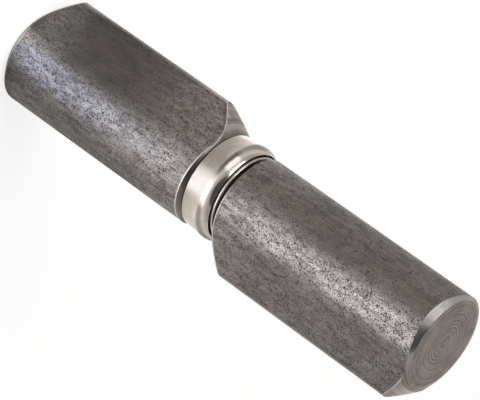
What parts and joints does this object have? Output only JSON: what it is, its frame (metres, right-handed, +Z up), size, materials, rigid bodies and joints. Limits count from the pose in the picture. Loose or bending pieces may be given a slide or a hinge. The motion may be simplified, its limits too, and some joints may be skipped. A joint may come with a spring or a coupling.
{
  "type": "weld-on barrel hinge",
  "caption": "Lift-off weld-on barrel hinge: two drop-section steel knuckles on a fixed pin, with a plated ball thrust bearing between them.",
  "frame": {"origin": "centre of the lower knuckle's turned end face, on the pin axis", "axes": "+Z up the pin axis from the lower to the upper knuckle, +X along the lower knuckle's welding nose"},
  "size_m": [0.031, 0.023, 0.1187],
  "materials": {
    "drawn_steel": "raw drawn mill finish, dark and blotchy",
    "nickel": "bright nickel plate",
    "race_steel": "ground hardened steel",
    "ball_steel": "polished hardened steel",
    "pin_steel": "ground bright bar",
    "cage_brass": "punched sheet, tumbled"
  },
  "bodies": {
    "lower_half": {"lower_knuckle": "drawn_steel", "hinge_pin": "pin_steel", "lower_race": "race_steel", "bearing_shell": "nickel"},
    "turning_race": {"upper_race": "race_steel"},
    "upper_half": {"upper_knuckle": "drawn_steel"},
    "cage": {"ball_cage": "cage_brass"},
    "ball_01": {"bearing_ball_01": "ball_steel"},
    "ball_02": {"bearing_ball_02": "ball_steel"},
    "ball_03": {"bearing_ball_03": "ball_steel"},
    "ball_04": {"bearing_ball_04": "ball_steel"},
    "ball_05": {"bearing_ball_05": "ball_steel"},
    "ball_06": {"bearing_ball_06": "ball_steel"},
    "ball_07": {"bearing_ball_07": "ball_steel"},
    "ball_08": {"bearing_ball_08": "ball_steel"},
    "ball_09": {"bearing_ball_09": "ball_steel"},
    "ball_10": {"bearing_ball_10": "ball_steel"},
    "ball_11": {"bearing_ball_11": "ball_steel"},
    "ball_12": {"bearing_ball_12": "ball_steel"},
    "ball_13": {"bearing_ball_13": "ball_steel"}
  },
  "joints": [
    {"name": "swing", "type": "hinge", "parent": "lower_half", "child": "turning_race", "pos_m": [0, 0, 0.0547], "axis": [0, 0, 1], "continuous": true},
    {"name": "lift_off", "type": "slide", "parent": "turning_race", "child": "upper_half", "axis": [0, 0, 1], "range_m": [0, 0.04]},
    {"name": "cage_turn", "type": "hinge", "parent": "lower_half", "child": "cage", "pos_m": [0, 0, 0.05867], "axis": [0, 0, 1], "continuous": true},
    {"name": "ball_01_roll", "type": "hinge", "parent": "cage", "child": "ball_01", "pos_m": [0.00815, 0, 0.05867], "axis": [1, 0, 0], "continuous": true},
    {"name": "ball_02_roll", "type": "hinge", "parent": "cage", "child": "ball_02", "pos_m": [0.00722, 0.00379, 0.05867], "axis": [0.8855, 0.4647, 0], "continuous": true},
    {"name": "ball_03_roll", "type": "hinge", "parent": "cage", "child": "ball_03", "pos_m": [0.00463, 0.00671, 0.05867], "axis": [0.5681, 0.823, 0], "continuous": true},
    {"name": "ball_04_roll", "type": "hinge", "parent": "cage", "child": "ball_04", "pos_m": [0.00098, 0.00809, 0.05867], "axis": [0.1205, 0.9927, 0], "continuous": true},
    {"name": "ball_05_roll", "type": "hinge", "parent": "cage", "child": "ball_05", "pos_m": [-0.00289, 0.00762, 0.05867], "axis": [-0.3546, 0.935, 0], "continuous": true},
    {"name": "ball_06_roll", "type": "hinge", "parent": "cage", "child": "ball_06", "pos_m": [-0.0061, 0.0054, 0.05867], "axis": [-0.7485, 0.6631, 0], "continuous": true},
    {"name": "ball_07_roll", "type": "hinge", "parent": "cage", "child": "ball_07", "pos_m": [-0.00791, 0.00195, 0.05867], "axis": [-0.9709, 0.2393, 0], "continuous": true},
    {"name": "ball_08_roll", "type": "hinge", "parent": "cage", "child": "ball_08", "pos_m": [-0.00791, -0.00195, 0.05867], "axis": [-0.9709, -0.2393, 0], "continuous": true},
    {"name": "ball_09_roll", "type": "hinge", "parent": "cage", "child": "ball_09", "pos_m": [-0.0061, -0.0054, 0.05867], "axis": [-0.7485, -0.6631, 0], "continuous": true},
    {"name": "ball_10_roll", "type": "hinge", "parent": "cage", "child": "ball_10", "pos_m": [-0.00289, -0.00762, 0.05867], "axis": [-0.3546, -0.935, 0], "continuous": true},
    {"name": "ball_11_roll", "type": "hinge", "parent": "cage", "child": "ball_11", "pos_m": [0.00098, -0.00809, 0.05867], "axis": [0.1205, -0.9927, 0], "continuous": true},
    {"name": "ball_12_roll", "type": "hinge", "parent": "cage", "child": "ball_12", "pos_m": [0.00463, -0.00671, 0.05867], "axis": [0.5681, -0.823, 0], "continuous": true},
    {"name": "ball_13_roll", "type": "hinge", "parent": "cage", "child": "ball_13", "pos_m": [0.00722, -0.00379, 0.05867], "axis": [0.8855, -0.4647, 0], "continuous": true}
  ],
  "couplings": [
    {"joint": "cage_turn", "follows": "swing", "ratio": 0.5},
    {"joint": "ball_01_roll", "follows": "swing", "ratio": -2.7167},
    {"joint": "ball_02_roll", "follows": "swing", "ratio": -2.7167},
    {"joint": "ball_03_roll", "follows": "swing", "ratio": -2.7167},
    {"joint": "ball_04_roll", "follows": "swing", "ratio": -2.7167},
    {"joint": "ball_05_roll", "follows": "swing", "ratio": -2.7167},
    {"joint": "ball_06_roll", "follows": "swing", "ratio": -2.7167},
    {"joint": "ball_07_roll", "follows": "swing", "ratio": -2.7167},
    {"joint": "ball_08_roll", "follows": "swing", "ratio": -2.7167},
    {"joint": "ball_09_roll", "follows": "swing", "ratio": -2.7167},
    {"joint": "ball_10_roll", "follows": "swing", "ratio": -2.7167},
    {"joint": "ball_11_roll", "follows": "swing", "ratio": -2.7167},
    {"joint": "ball_12_roll", "follows": "swing", "ratio": -2.7167},
    {"joint": "ball_13_roll", "follows": "swing", "ratio": -2.7167}
  ]
}
